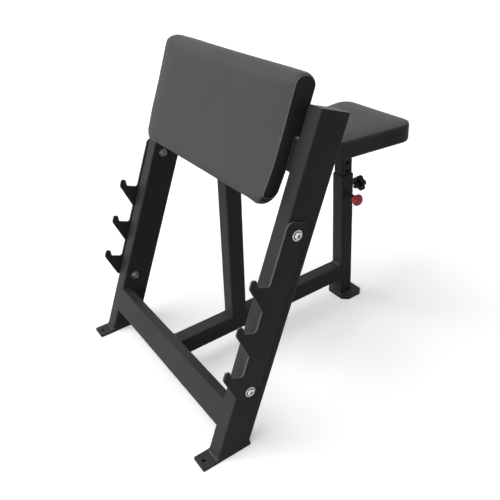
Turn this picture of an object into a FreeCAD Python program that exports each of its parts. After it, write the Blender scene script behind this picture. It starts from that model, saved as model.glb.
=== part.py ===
import FreeCAD, Part
import math
import os

# Preacher curl bench: two raked uprights with bar hooks, a padded arm rest between them and a seat on a
# telescopic post. Millimetres, +Z up, +X to the right as seen from the bar-hook side, +Y towards the seat.

V = FreeCAD.Vector

# Steel sections
wall = 3.0
corner_r = 5.0
upright_w = 50.0
upright_d = 96.0
upright_len = 978.0
rake = 22.5
inner_half = 330.0
beam_d = 40.0
beam_h = 82.0
lower_beam_s = 80.0
upper_beam_drop = 86.0
base_w = 50.0
base_h = 60.0
base_step = 4.0
post_w = 50.0
post_d = 55.0
post_front_y = 291.0
post_set_back = 5.0
fit_gap = 0.05
slide_gap = 0.3

# Foot plates
plate_t = 8.0
foot_w = 54.0
foot_front = 47.0
foot_rear = 4.0
foot_r = 4.0
floor_hole_d = 11.0
floor_hole_edge = 17.0
rear_plate_w = 110.0
rear_plate_l = 95.0
rear_plate_cut = 20.0
rear_plate_shift = 14.0
rear_plate_r = 3.0

# Plastic end caps of the uprights
cap_t = 3.0
cap_plug = 14.0
cap_edge = 1.2

# Hook plates
hook_t = 6.0
hook_front = 4.0
hook_back = 66.0
hook_clear = 1.0
hook_settle = 0.24551
hook_head = 156.0
hook_pitch = 129.0
hook_count = 3
hook_reach = 66.0
hook_tip_w = 15.0
hook_throat = 41.0
hook_depth = 19.0
hook_nose = 24.0
hook_drop = 88.0
hook_root_r = 9.0
hook_nose_r = 12.0
hook_tip_r = 6.0
hook_small_r = 3.5
hook_corner_r = 20.0
hook_bolt_w = 35.0
hook_bolt_top = 34.0
hook_bolt_low = 19.0

# Fasteners
m12_d = 12.0
m12_hole = 13.0
m12_head_d = 22.0
m12_head_h = 6.5
m12_dome_r = 13.6
m12_socket_af = 8.0
m12_socket_depth = 4.0
m12_nut_af = 19.0
m12_nut_h = 10.0
m12_washer_d = 30.0
m8_d = 8.0
m8_hole = 9.0
m8_af = 13.0
m8_head_h = 5.3
m8_washer_d = 17.0
washer_t = 2.0
bolt_end = 3.0
tip_gap = 1.0

# Arm pad, drawn in the raked frame of the uprights and placed by the upper crossbeam
pad_gap = 10.0
pad_below = 99.0
pad_above = 155.0
pad_t = 46.0
pad_hollow = 2.5
pad_hollow_r = 480.0
pad_brow = 1.0
pad_brow_down = 50.0
pad_crown = 3.0
pad_bulb = 16.0
neck_above = 84.0
pad_corner_r = 20.0
pad_seam_r = 3.5
pad_low_r = 28.0
pad_front_r = 10.0
pad_top_r = 31.0
pad_bulb_r = 27.0
pad_neck_r = 8.0
pad_board_t = 12.0
pad_board_in = 14.0
pad_board_up = 30.0
pad_board_r = 12.0
pad_bolt_x = 240.0
pad_bolt_depth = 9.0

# Seat post
sleeve_w = 50.0
sleeve_wall = 2.0
sleeve_r = 4.0
bore_ease = 1.0
sleeve_top = 492.0
sleeve_front_y = 765.0
bush_wall = 1.2
bush_len = 40.0
bush_flange = 3.0
bush_edge = 0.8
seat_tube_wall = 2.5
seat_tube_r = 4.0
seat_tube_len = 420.0
plug_t = 5.0
plug_len = 20.0
hole_pitch = 30.0
holes_below = 3
holes_above = 4
index_hole_d = 11.0

# Pull pin
pin_z = 418.0
pin_d = 10.0
pin_travel = 9.0
pin_clear = 0.8
pin_nose = 1.0
collar_d = 15.0
collar_t = 2.0
stem_d = 8.0
barrel_d = 22.0
barrel_len = 21.7
barrel_wall = 2.5
pull_knob_d = 42.0
pull_knob_len = 30.0
pull_neck_d = 24.0
pull_neck_len = 10.0
stem_in = 10.0
spring_wire = 1.2
spring_d = 12.0
spring_turns = 3.5

# Clamp knob
clamp_z = 432.0
clamp_d = 10.0
clamp_nut_af = 19.0
clamp_nut_h = 12.0
screw_bite = 12.0
star_d = 56.0
star_valley_d = 40.0
star_lobes = 5
star_t = 18.0
star_round = 5.0
star_hub_d = 26.0
star_hub_len = 20.0
star_gap = 32.0
star_seat = 4.0

# Seat
seat_plate_t = 5.0
seat_plate_w = 150.0
seat_plate_hole = 55.0
seat_plate_r = 12.0
seat_z = 617.0
seat_h = 66.0
seat_len = 304.0
seat_half_front = 130.0
seat_half_rear = 160.0
seat_corner_r = 44.0
seat_crown = 5.0
seat_rise = 80.0
seat_roll = 10.0
seat_edge = 11.0
seat_draw_low = 4.0
seat_draw_top = 3.0
seat_board_t = 15.0
seat_board_in = 19.0
seat_bolt_depth = 11.0

sin_r = math.sin(math.radians(rake))
cos_r = math.cos(math.radians(rake))
x_in = inner_half
x_out = inner_half + upright_w
x_plate = x_out + hook_t
upper_beam_s = upright_len - upper_beam_drop - beam_h
hook_run = hook_drop + (hook_count - 1) * hook_pitch + hook_head
hook_bolt_low_s = lower_beam_s + beam_h + m12_washer_d / 2.0 + hook_clear
hook_bolt_high_s = upper_beam_s - m12_washer_d / 2.0 - hook_clear
hook_spare = hook_bolt_high_s - hook_bolt_low_s - (hook_run - hook_bolt_low - hook_bolt_top)
hook_low_s = hook_bolt_low_s + hook_settle * hook_spare - hook_bolt_low
hook_tip_s = hook_low_s + hook_drop
hook_top_s = hook_low_s + hook_run
seat_y = sleeve_front_y + sleeve_w / 2.0
seat_rear_y = seat_y + seat_len / 2.0
mid_y = (seat_rear_y - foot_front) / 2.0


def loop(corners, at):
    """Closed wire through (a, b, radius) corners, each rounded by its tangent arc; at maps (a, b) to 3D."""
    pts = [V(a, b, 0) for a, b, r in corners]
    starts, mids, ends = [], [], []
    for i, (a, b, r) in enumerate(corners):
        here = pts[i]
        back = (pts[i - 1] - here).normalize()
        ahead = (pts[(i + 1) % len(pts)] - here).normalize()
        half = back.getAngle(ahead) / 2.0
        reach = r / math.tan(half)
        middle = (back + ahead).normalize()
        starts.append(here + back * reach)
        mids.append(here + middle * (r / math.sin(half) - r))
        ends.append(here + ahead * reach)
    edges = []
    for i in range(len(pts)):
        if corners[i][2] > 0:
            arc = Part.Arc(at(starts[i].x, starts[i].y), at(mids[i].x, mids[i].y), at(ends[i].x, ends[i].y))
            edges.append(arc.toShape())
        nxt = starts[(i + 1) % len(pts)]
        if (nxt - ends[i]).Length > 1e-6:
            edges.append(Part.makeLine(at(ends[i].x, ends[i].y), at(nxt.x, nxt.y)))
    return Part.Wire(edges)


def rect(a0, a1, b0, b1, r):
    """Corner list of a rectangle with one radius."""
    return [(a0, b0, r), (a1, b0, r), (a1, b1, r), (a0, b1, r)]


def prism(corners, at, along):
    """Solid swept straight from a rounded outline."""
    return Part.Face(loop(corners, at)).extrude(along)


def tube(a0, a1, b0, b1, at, along, thick, r):
    """Rectangular hollow section with rounded corners."""
    outer = prism(rect(a0, a1, b0, b1, r), at, along)
    inner_r = max(r - thick, 0.5)
    inner = prism(rect(a0 + thick, a1 - thick, b0 + thick, b1 - thick, inner_r), at, along)
    return outer.cut(inner)


def rod(d, length, base, along):
    """Round bar of a diameter and length from a base point."""
    return Part.makeCylinder(d / 2.0, length, base, along)


def hexagon(af, height, base, along):
    """Hexagonal bar across flats, standing on a base point."""
    r = af / math.sqrt(3)
    turns = [math.radians(60 * k) for k in range(7)]
    ring = [V(r * math.cos(a), r * math.sin(a), 0) for a in turns]
    solid = Part.Face(Part.makePolygon(ring)).extrude(V(0, 0, height))
    solid.Placement = FreeCAD.Placement(base, FreeCAD.Rotation(V(0, 0, 1), along))
    return solid


def raked(shape):
    """Lean a shape drawn on (X, w, s) axes back onto the uprights and set it on the foot plates."""
    out = shape.copy()
    out.rotate(V(0, 0, 0), V(1, 0, 0), -rake)
    out.translate(V(0, 0, plate_t))
    return out


def mirrored(shape):
    """The same piece on the left-hand side."""
    return shape.mirror(V(0, 0, 0), V(1, 0, 0))


def save(name, shape):
    """Write one node with the origin at the middle of the footprint."""
    os.makedirs("parts", exist_ok=True)
    out = shape.copy()
    out.translate(V(0, -mid_y, 0))
    out.exportStep("parts/" + name + ".step")
    print(name, "solids", len(out.Solids), "valid", out.isValid(), "volume", round(out.Volume))


def flat(z):
    """Plane of constant height."""
    return lambda a, b: V(a, b, z)


def across(x):
    """Plane of constant X: first value along Y or w, second along Z or s."""
    return lambda a, b: V(x, a, b)


def cross(y):
    """Plane of constant Y."""
    return lambda a, b: V(a, y, b)


X_DIR = V(1, 0, 0)
Y_DIR = V(0, 1, 0)
Z_DIR = V(0, 0, 1)

# Uprights: raked hollow sections, cut level at the foot and square at the top
hook_bolt_s = [hook_low_s + hook_bolt_low, hook_top_s - hook_bolt_top]
below = Part.makeBox(4000, 4000, 1000, V(-2000, -2000, plate_t - 1000))
upright_run = Z_DIR * (upright_len + upright_d)
upright = tube(x_in, x_out, 0, upright_d, flat(-upright_d), upright_run, wall, corner_r)
for s in hook_bolt_s:
    upright = upright.cut(rod(m12_hole, upright_w + 2, V(x_in - 1, hook_bolt_w, s), X_DIR))
upright = raked(upright).cut(below)
save("right_upright", upright)
save("left_upright", mirrored(upright))

# Plastic caps pressed into the tops of the uprights
cap = prism(rect(x_in, x_out, 0, upright_d, corner_r), flat(upright_len), Z_DIR * cap_t)
cap = cap.makeChamfer(cap_edge, [e for e in cap.Edges if e.BoundBox.ZMin > upright_len + cap_t / 2.0])
plug_in = wall + slide_gap
cap = cap.fuse(prism(rect(x_in + plug_in, x_out - plug_in, plug_in, upright_d - plug_in, corner_r - wall),
                     flat(upright_len - cap_plug), Z_DIR * cap_plug))
cap = raked(cap)
save("upright_end_caps", Part.makeCompound([cap, mirrored(cap)]))

# Foot plates of the uprights, each with one floor hole ahead of the tube
foot_mid = (x_in + x_out) / 2.0
foot_back_y = upright_d / cos_r + foot_rear
foot = prism(rect(foot_mid - foot_w / 2.0, foot_mid + foot_w / 2.0, -foot_front, foot_back_y, foot_r),
             flat(0), Z_DIR * plate_t)
foot = foot.cut(rod(floor_hole_d, plate_t + 2, V(foot_mid, floor_hole_edge - foot_front, -1), Z_DIR))
save("right_foot_plate", foot)
save("left_foot_plate", mirrored(foot))

# Crossbeams, flush with the front faces of the uprights
span = X_DIR * (2 * x_in)
lower_beam = tube(0, beam_d, lower_beam_s, lower_beam_s + beam_h, across(-x_in), span, wall, corner_r)
save("lower_crossbeam", raked(lower_beam))
pad_bolts_at = [-pad_bolt_x, -pad_bolt_x / 3.0, pad_bolt_x / 3.0, pad_bolt_x]
pad_bolt_s = upper_beam_s + beam_h / 2.0
upper_beam = tube(0, beam_d, upper_beam_s, upper_beam_s + beam_h, across(-x_in), span, wall, corner_r)
for x in pad_bolts_at:
    upper_beam = upper_beam.cut(rod(m8_hole, beam_d + 2, V(x, -1, pad_bolt_s), Y_DIR))
save("upper_crossbeam", raked(upper_beam))

# Base tube: its top is just under the rear top edge of the lower crossbeam, its front end cut to the rake
base_top = plate_t + (lower_beam_s + beam_h) * cos_r - beam_d * sin_r - base_step
base_low = base_top - base_h
base = tube(-base_w / 2.0, base_w / 2.0, base_low, base_top, cross(0), Y_DIR * sleeve_front_y, wall, corner_r)
base = base.cut(raked(Part.makeBox(400, 1000, 2000, V(-200, beam_d - 1000, -500))))
save("base_tube", base)

# Centre post from the base tube to the underside of the upper crossbeam, leaning to meet it
beam_low_y = upper_beam_s * sin_r + post_set_back
beam_low_z = plate_t + upper_beam_s * cos_r
lean = math.degrees(math.atan2(beam_low_y - post_front_y, beam_low_z - base_top))
half_post = post_w / 2.0
post_run = Z_DIR * (beam_low_z + post_d)
post = tube(-half_post, half_post, 0, post_d, flat(-post_d), post_run, wall, corner_r)
post.rotate(V(0, 0, 0), X_DIR, -lean)
post.translate(V(0, post_front_y, base_top))
post = post.cut(Part.makeBox(400, 1000, 1000, V(-200, 0, base_top - 1000)))
post = post.cut(raked(Part.makeBox(400, 1000, 1000, V(-200, -500, upper_beam_s))))
save("centre_post", post)

# Rear foot plate: a rectangle with its corners cut off, under the seat post sleeve
rp_y = seat_y + rear_plate_shift
rp_a = rear_plate_w / 2.0
rp_b = rear_plate_l / 2.0
rp_ca = rp_a - rear_plate_cut
rp_cb = rp_b - rear_plate_cut
octagon = [(-rp_ca, -rp_b), (rp_ca, -rp_b), (rp_a, -rp_cb), (rp_a, rp_cb),
           (rp_ca, rp_b), (-rp_ca, rp_b), (-rp_a, rp_cb), (-rp_a, -rp_cb)]
rear_plate = prism([(a, rp_y + b, rear_plate_r) for a, b in octagon], flat(0), Z_DIR * plate_t)
save("rear_foot_plate", rear_plate)

# Seat post sleeve with the pin hole in its right-hand wall and the clamp hole in its rear wall
half_sleeve = sleeve_w / 2.0
sleeve = tube(-half_sleeve, half_sleeve, seat_y - half_sleeve, seat_y + half_sleeve, flat(plate_t),
              Z_DIR * (sleeve_top - plate_t), sleeve_wall, sleeve_r)
wall_x = half_sleeve - sleeve_wall
sleeve = sleeve.cut(rod(pin_d + 2 * fit_gap, sleeve_wall + 4, V(wall_x - 2, seat_y, pin_z), X_DIR))
sleeve = sleeve.cut(rod(clamp_d + 2 * slide_gap, sleeve_wall + 4, V(0, seat_y + wall_x - 2, clamp_z), Y_DIR))
save("seat_post_sleeve", sleeve)

# Plastic bushing: a flange on the sleeve's rim and a liner down its bore
half_bore = half_sleeve - sleeve_wall
bore_r = sleeve_r - sleeve_wall + bore_ease
half_tube = half_bore - bush_wall - slide_gap
liner_at = half_tube + slide_gap
liner_r = seat_tube_r + slide_gap
bush = prism(rect(-half_sleeve, half_sleeve, seat_y - half_sleeve, seat_y + half_sleeve, sleeve_r),
             flat(sleeve_top), Z_DIR * bush_flange)
bush_rim = sleeve_top + bush_flange / 2.0
bush = bush.makeChamfer(bush_edge, [e for e in bush.Edges if e.BoundBox.ZMin > bush_rim])
bush = bush.fuse(prism(rect(-half_bore + fit_gap, half_bore - fit_gap, seat_y - half_bore + fit_gap,
                            seat_y + half_bore - fit_gap, bore_r),
                       flat(sleeve_top - bush_len), Z_DIR * bush_len))
bush = bush.cut(prism(rect(-liner_at, liner_at, seat_y - liner_at, seat_y + liner_at, liner_r),
                      flat(sleeve_top - bush_len - 1), Z_DIR * (bush_len + bush_flange + 2)))
save("sleeve_bushing", bush)

# Seat post tube with its row of index holes on the right-hand face
tube_top = seat_z - seat_plate_t
tube_low = tube_top - seat_tube_len
seat_tube = tube(-half_tube, half_tube, seat_y - half_tube, seat_y + half_tube, flat(tube_low),
                 Z_DIR * seat_tube_len, seat_tube_wall, seat_tube_r)
for k in range(-holes_below, holes_above + 1):
    z = pin_z + k * hole_pitch
    seat_tube = seat_tube.cut(rod(index_hole_d, half_tube + 1, V(0, seat_y, z), X_DIR))
save("seat_post_tube", seat_tube)

# Guide plug in the lower end of the seat post tube
plug_half = half_bore - slide_gap
plug_low = tube_low - plug_t
plug = prism(rect(-plug_half, plug_half, seat_y - plug_half, seat_y + plug_half, bore_r),
             flat(plug_low), Z_DIR * plug_t)
plug_in_half = half_tube - seat_tube_wall - fit_gap
plug = plug.fuse(prism(rect(-plug_in_half, plug_in_half, seat_y - plug_in_half, seat_y + plug_in_half,
                            seat_tube_r - seat_tube_wall), flat(plug_low + plug_t), Z_DIR * plug_len))
save("seat_post_plug", plug)

# Hook plates: one laser-cut outline with three bar hooks, bolted through the outer walls of the uprights
outline = [(hook_back, hook_low_s, hook_corner_r), (hook_back, hook_top_s, hook_corner_r),
           (-hook_front, hook_top_s, hook_corner_r)]
for k in range(hook_count - 1, -1, -1):
    tip = hook_tip_s + k * hook_pitch
    floor = tip - hook_depth
    outline += [(-hook_front, floor, hook_root_r), (-hook_throat, floor, hook_small_r),
                (hook_tip_w - hook_reach, tip, hook_tip_r), (-hook_reach, tip, hook_tip_r),
                (-hook_reach, tip - hook_nose, hook_nose_r), (-hook_front, tip - hook_drop, hook_small_r)]
hook_plate = prism(outline, across(x_out), X_DIR * hook_t)
for s in hook_bolt_s:
    hook_plate = hook_plate.cut(rod(m12_hole, hook_t + 2, V(x_out - 1, hook_bolt_w, s), X_DIR))
save("right_hook_plate", raked(hook_plate))
save("left_hook_plate", mirrored(raked(hook_plate)))

# Fasteners of the hook plates: button-head bolts outside, nuts on the inner faces of the uprights
bolts, washers, nuts = [], [], []
for s in hook_bolt_s:
    seat_x = x_plate + washer_t
    nut_x = x_in - washer_t
    dome = Part.makeSphere(m12_dome_r, V(seat_x + m12_head_h - m12_dome_r, hook_bolt_w, s))
    head = rod(m12_head_d, m12_head_h, V(seat_x, hook_bolt_w, s), X_DIR).common(dome)
    socket_x = seat_x + m12_head_h - m12_socket_depth
    head = head.cut(hexagon(m12_socket_af, m12_head_h, V(socket_x, hook_bolt_w, s), X_DIR))
    tail = nut_x - m12_nut_h - bolt_end
    bolts.append(head.fuse(rod(m12_d, seat_x - tail, V(tail, hook_bolt_w, s), X_DIR)))
    ring = rod(m12_washer_d, washer_t, V(x_plate, hook_bolt_w, s), X_DIR)
    washers.append(ring.cut(rod(m12_hole, washer_t, V(x_plate, hook_bolt_w, s), X_DIR)))
    ring = rod(m12_washer_d, washer_t, V(nut_x, hook_bolt_w, s), X_DIR)
    washers.append(ring.cut(rod(m12_hole, washer_t, V(nut_x, hook_bolt_w, s), X_DIR)))
    nut = hexagon(m12_nut_af, m12_nut_h, V(nut_x - m12_nut_h, hook_bolt_w, s), X_DIR)
    nuts.append(nut.cut(rod(m12_d + 2 * fit_gap, m12_nut_h, V(nut_x - m12_nut_h, hook_bolt_w, s), X_DIR)))


def both_sides(solids):
    """Raked group of solids and its mirror image."""
    right = [raked(s) for s in solids]
    return Part.makeCompound(right + [mirrored(s) for s in right])


save("hook_plate_bolts", both_sides(bolts))
save("hook_plate_washers", both_sides(washers))
save("hook_plate_nuts", both_sides(nuts))

# Arm pad: a paddle section with a rolled top edge and a shallow hollow in front, crowned along its length
pad_half = inner_half - pad_gap
pad_low_s = upper_beam_s - pad_below
beam_top_s = upper_beam_s + beam_h
pad_high_s = beam_top_s + pad_above
neck_s = beam_top_s + neck_above


def pad_section(x, lift, inset, crown):
    """Outline at one station: lift raises the foot, inset rounds the end seams, crown swells the front."""
    front = -(pad_t - inset + crown)
    low = pad_low_s + inset + lift
    high = pad_high_s - inset
    bulb = pad_bulb - inset
    corners = [(0.0, low, pad_low_r - inset), (front, low, pad_front_r - inset),
               (front + pad_hollow, beam_top_s, pad_hollow_r),
               (front - pad_brow, high - pad_brow_down, pad_top_r),
               (front + pad_brow, high, pad_top_r - inset), (bulb, high, pad_bulb_r - inset),
               (bulb, neck_s + bulb, pad_neck_r), (0.0, neck_s, pad_neck_r)]
    return loop(corners, across(x))


pad_stations = [(pad_half, 0.9 * pad_corner_r, pad_seam_r, 0.0)]
for turn in (75.0, 55.0, 30.0, 0.0):
    a = math.radians(turn)
    inset = 0.25 * pad_seam_r if turn > 70.0 else 0.0
    x = pad_half - pad_corner_r * (1.0 - math.sin(a)) - inset / 2.0
    pad_stations.append((x, pad_corner_r * (1.0 - math.cos(a)), inset, 0.0))
for share in (0.75, 0.5, 0.25):
    pad_stations.append((pad_half * share, 0.0, 0.0, pad_crown * (1.0 - share ** 2)))
pad_wires = [pad_section(-x, up, i, c) for x, up, i, c in pad_stations]
pad_wires.append(pad_section(0.0, 0.0, 0.0, pad_crown))
pad_wires += [pad_section(x, up, i, c) for x, up, i, c in reversed(pad_stations)]
pad = Part.makeLoft(pad_wires, True, True)

# Plywood board of the arm pad, let into the back of the padding
board_half = pad_half - pad_board_in
board_low_s = pad_low_s + pad_board_up
pad_board = prism(rect(-board_half, board_half, board_low_s, neck_s - pad_board_in, pad_board_r),
                  cross(-pad_board_t), Y_DIR * pad_board_t)
pad = pad.cut(pad_board)
for x in pad_bolts_at:
    bore = rod(m8_d + 2 * fit_gap, pad_bolt_depth, V(x, -pad_bolt_depth, pad_bolt_s), Y_DIR)
    pad_board = pad_board.cut(bore)
save("arm_pad_cushion", raked(pad))
save("arm_pad_board", raked(pad_board))

# Bolts through the upper crossbeam into the board
bolts, washers = [], []
for x in pad_bolts_at:
    head_w = beam_d + washer_t
    bolt = hexagon(m8_af, m8_head_h, V(x, head_w, pad_bolt_s), Y_DIR)
    shank_end = tip_gap - pad_bolt_depth
    bolts.append(bolt.fuse(rod(m8_d, head_w - shank_end, V(x, shank_end, pad_bolt_s), Y_DIR)))
    ring = rod(m8_washer_d, washer_t, V(x, beam_d, pad_bolt_s), Y_DIR)
    washers.append(ring.cut(rod(m8_hole, washer_t, V(x, beam_d, pad_bolt_s), Y_DIR)))
save("arm_pad_bolts", raked(Part.makeCompound(bolts)))
save("arm_pad_washers", raked(Part.makeCompound(washers)))

# Seat mounting plate on top of the seat post tube
plate_half = seat_plate_w / 2.0
seat_plate = prism(rect(-plate_half, plate_half, seat_y - plate_half, seat_y + plate_half, seat_plate_r),
                   flat(tube_top), Z_DIR * seat_plate_t)
hole_sides = (-seat_plate_hole, seat_plate_hole)
seat_holes = [(a, seat_y + b) for a in hole_sides for b in hole_sides]
for a, b in seat_holes:
    seat_plate = seat_plate.cut(rod(m8_hole, seat_plate_t, V(a, b, tube_top), Z_DIR))
save("seat_mounting_plate", seat_plate)


def seat_outline(inset):
    """Plan of the seat, a little narrower at the front, with wide corners."""
    front = seat_y - seat_len / 2.0 + inset
    rear = seat_rear_y - inset
    r = seat_corner_r - 0.4 * inset
    return [(-seat_half_front + inset, front, r), (seat_half_front - inset, front, r),
            (seat_half_rear - inset, rear, r), (-seat_half_rear + inset, rear, r)]


# Seat cushion: a rolled lower edge, sides drawn in towards foot and rim, a crisper upper edge, a crowned top
seat_top = seat_z + seat_h
rim_z = seat_top - seat_crown - seat_roll
seat_levels = []
for turn in (0.0, 30.0, 60.0, 90.0):
    a = math.radians(turn)
    level = seat_z + seat_edge * (1.0 - math.cos(a))
    seat_levels.append((seat_draw_low + seat_edge * (1.0 - math.sin(a)), level))
seat_levels.append((0.0, seat_z + seat_h / 2.0))
for turn in (0.0, 30.0, 60.0, 80.0):
    a = math.radians(turn)
    seat_levels.append((seat_draw_top + seat_roll * (1.0 - math.cos(a)), rim_z + seat_roll * math.sin(a)))
for share in (0.5, 1.0):
    level = seat_top - seat_crown * (1.0 - share) ** 2
    seat_levels.append((seat_draw_top + seat_roll + share * seat_rise, level))
seat = Part.makeLoft([loop(seat_outline(inset), flat(z)) for inset, z in seat_levels], True, True)
seat_board = prism(seat_outline(seat_board_in), flat(seat_z), Z_DIR * seat_board_t)
seat = seat.cut(seat_board)
for a, b in seat_holes:
    seat_board = seat_board.cut(rod(m8_d + 2 * fit_gap, seat_bolt_depth, V(a, b, seat_z), Z_DIR))
save("seat_cushion", seat)
save("seat_board", seat_board)

# Bolts through the mounting plate into the seat board
bolts, washers = [], []
for a, b in seat_holes:
    head_z = tube_top - washer_t
    bolt = hexagon(m8_af, m8_head_h, V(a, b, head_z - m8_head_h), Z_DIR)
    shank = washer_t + seat_plate_t + seat_bolt_depth - tip_gap
    bolts.append(bolt.fuse(rod(m8_d, shank, V(a, b, head_z), Z_DIR)))
    ring = rod(m8_washer_d, washer_t, V(a, b, head_z), Z_DIR)
    washers.append(ring.cut(rod(m8_hole, washer_t, V(a, b, head_z), Z_DIR)))
save("seat_bolts", Part.makeCompound(bolts))
save("seat_washers", Part.makeCompound(washers))

# Barrel of the pull pin, welded to the sleeve
axis_at = V(half_sleeve, seat_y, pin_z)
barrel_end = half_sleeve + barrel_len
barrel = rod(barrel_d, barrel_len, axis_at, X_DIR)
barrel = barrel.makeChamfer(1.0, [e for e in barrel.Edges if abs(e.BoundBox.XMin - barrel_end) < 1e-4])
barrel = barrel.cut(rod(collar_d + 2 * slide_gap, barrel_len - barrel_wall, axis_at, X_DIR))
barrel = barrel.cut(rod(stem_d + 2 * fit_gap, barrel_len, axis_at, X_DIR))
save("pin_barrel", barrel)

# Pull pin, drawn just clear of the seat post tube: nose, collar and stem turned from one bar
tip_x = half_tube + pin_clear
collar_x = half_sleeve + slide_gap + pin_travel
knob_x = barrel_end + slide_gap + pin_travel
stem_end = knob_x + pull_knob_len - stem_in
turned = [(tip_x, 0.0), (tip_x, pin_d / 2.0 - pin_nose), (tip_x + pin_nose, pin_d / 2.0),
          (collar_x, pin_d / 2.0), (collar_x, collar_d / 2.0), (collar_x + collar_t, collar_d / 2.0),
          (collar_x + collar_t, stem_d / 2.0), (stem_end, stem_d / 2.0), (stem_end, 0.0), (tip_x, 0.0)]
profile = [V(x, 0, r) for x, r in turned]
pin = Part.Face(Part.makePolygon(profile)).revolve(V(0, 0, 0), X_DIR, 360)
pin.translate(V(0, seat_y, pin_z))
save("pull_pin", pin)

# Mushroom knob on the stem
neck_end = knob_x + pull_neck_len
knob_end = knob_x + pull_knob_len
r_neck = pull_neck_d / 2.0
r_knob = pull_knob_d / 2.0
rim_x = neck_end + 0.42 * (knob_end - neck_end)
r_flat = 0.25 * r_knob


def bow(*spots):
    """Arc through three (x, radius) spots of the knob's half section."""
    return Part.Arc(*[V(x, 0, r) for x, r in spots]).toShape()


edges = [Part.makeLine(V(knob_x, 0, 0), V(knob_x, 0, r_neck)),
         bow((knob_x, r_neck), (knob_x + 0.5 * pull_neck_len, r_neck - 2.0), (neck_end, r_neck + 1.0)),
         bow((neck_end, r_neck + 1.0), (neck_end + 2.2, r_knob - 2.6), (rim_x, r_knob)),
         bow((rim_x, r_knob), (knob_end - 2.8, 0.7 * r_knob), (knob_end, r_flat)),
         Part.makeLine(V(knob_end, 0, r_flat), V(knob_end, 0, 0)),
         Part.makeLine(V(knob_end, 0, 0), V(knob_x, 0, 0))]
pull = Part.Face(Part.Wire(edges)).revolve(V(0, 0, 0), X_DIR, 360)
pull.translate(V(0, seat_y, pin_z))
pull = pull.cut(rod(stem_d + 2 * fit_gap, stem_end - knob_x, V(knob_x, seat_y, pin_z), X_DIR))
save("pull_knob", pull)

# Return spring between the pin's collar and the end of the barrel
spring_low = collar_x + collar_t + spring_wire / 2.0 + fit_gap
spring_high = barrel_end - barrel_wall - spring_wire / 2.0 - fit_gap
spring_rise = spring_high - spring_low


def coil(t):
    """Point of the spring's centre line after t turns, on a helix about the pin."""
    a = 2 * math.pi * t
    return V(spring_low + spring_rise * t / spring_turns, seat_y + spring_d / 2.0 * math.cos(a),
             pin_z + spring_d / 2.0 * math.sin(a))


quarters = int(round(4 * spring_turns))
quarter = spring_turns / quarters
path = []
for k in range(quarters):
    path.append(Part.Arc(*[coil((k + part) * quarter) for part in (0.0, 0.5, 1.0)]).toShape())
heading = path[0].tangentAt(path[0].FirstParameter)
section = Part.Wire([Part.makeCircle(spring_wire / 2.0, coil(0.0), heading)])
spring = Part.Wire(path).makePipeShell([section], True, False)
save("pin_spring", spring)
turn = [coil(k / 24.0) for k in range(int(24 * spring_turns) + 1)]
pairs = [(i, j) for i in range(len(turn)) for j in range(i + 13, len(turn))]
gap = min((turn[i] - turn[j]).Length for i, j in pairs) - spring_wire
print("spring's least gap to itself", round(gap, 3))

# Clamp knob: a nut welded to the sleeve's rear wall, a screw that presses the seat post tube, a lobed knob
nut_y = seat_y + half_sleeve
clamp_at = V(0, nut_y, clamp_z)
nut = hexagon(clamp_nut_af, clamp_nut_h, clamp_at, Y_DIR)
nut = nut.cut(rod(clamp_d + 2 * fit_gap, clamp_nut_h, clamp_at, Y_DIR))
save("clamp_nut", nut)
star_y = nut_y + clamp_nut_h + star_gap
screw_tip = seat_y + half_tube + slide_gap
screw_end = star_y + screw_bite
save("clamp_screw", rod(clamp_d, screw_end - screw_tip, V(0, screw_tip, clamp_z), Y_DIR))
step = 2 * math.pi / star_lobes
r_out = star_d / 2.0
r_in = star_valley_d / 2.0
r_mid = (r_out + r_in) / 2.0


def star_point(r, a):
    """Point of the lobed outline at a radius and angle."""
    return V(r * math.sin(a), star_y, clamp_z + r * math.cos(a))


edges = []
for k in range(star_lobes):
    for a, r in ((k * step, r_out), ((k + 0.5) * step, r_in)):
        lobe = Part.Arc(star_point(r_mid, a - step / 4), star_point(r, a), star_point(r_mid, a + step / 4))
        edges.append(lobe.toShape())
star = Part.Face(Part.Wire(edges)).extrude(Y_DIR * star_t)
disc = rod(star_d + fit_gap, star_t, V(0, star_y, clamp_z), Y_DIR)
star = star.common(disc.makeFillet(star_round, [e for e in disc.Edges if e.BoundBox.YLength < 1e-6]))
hub_y = star_y + star_seat - star_hub_len
star = star.fuse(rod(star_hub_d, star_hub_len, V(0, hub_y, clamp_z), Y_DIR))
star = star.cut(rod(clamp_d + 2 * fit_gap, screw_end - hub_y, V(0, hub_y, clamp_z), Y_DIR))
save("clamp_knob", star)
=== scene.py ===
import bmesh
import bpy
import math
import numpy as np
from mathutils import Matrix, Vector


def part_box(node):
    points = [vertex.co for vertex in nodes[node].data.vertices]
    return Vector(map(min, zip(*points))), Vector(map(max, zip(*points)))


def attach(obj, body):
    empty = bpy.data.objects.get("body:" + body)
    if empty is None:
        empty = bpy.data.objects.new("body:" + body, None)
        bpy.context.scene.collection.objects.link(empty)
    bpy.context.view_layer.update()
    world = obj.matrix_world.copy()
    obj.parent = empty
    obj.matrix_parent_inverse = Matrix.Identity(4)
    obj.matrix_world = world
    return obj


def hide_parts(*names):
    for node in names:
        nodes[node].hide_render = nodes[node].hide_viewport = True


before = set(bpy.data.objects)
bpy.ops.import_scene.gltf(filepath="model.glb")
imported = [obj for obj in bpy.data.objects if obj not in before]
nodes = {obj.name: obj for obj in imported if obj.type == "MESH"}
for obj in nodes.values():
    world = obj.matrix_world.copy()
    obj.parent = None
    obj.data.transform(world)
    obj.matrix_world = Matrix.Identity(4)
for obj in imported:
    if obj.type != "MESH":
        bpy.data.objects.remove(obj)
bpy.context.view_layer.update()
bpy.context.scene.view_settings.view_transform = "Standard"

# Welded frame: raked box-tube uprights, two crossbeams, the base tube, the centre post, the seat post sleeve
# and three floor plates. All are mild steel under one coat of fine-textured matte black powder paint.

MM = 0.001


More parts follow.
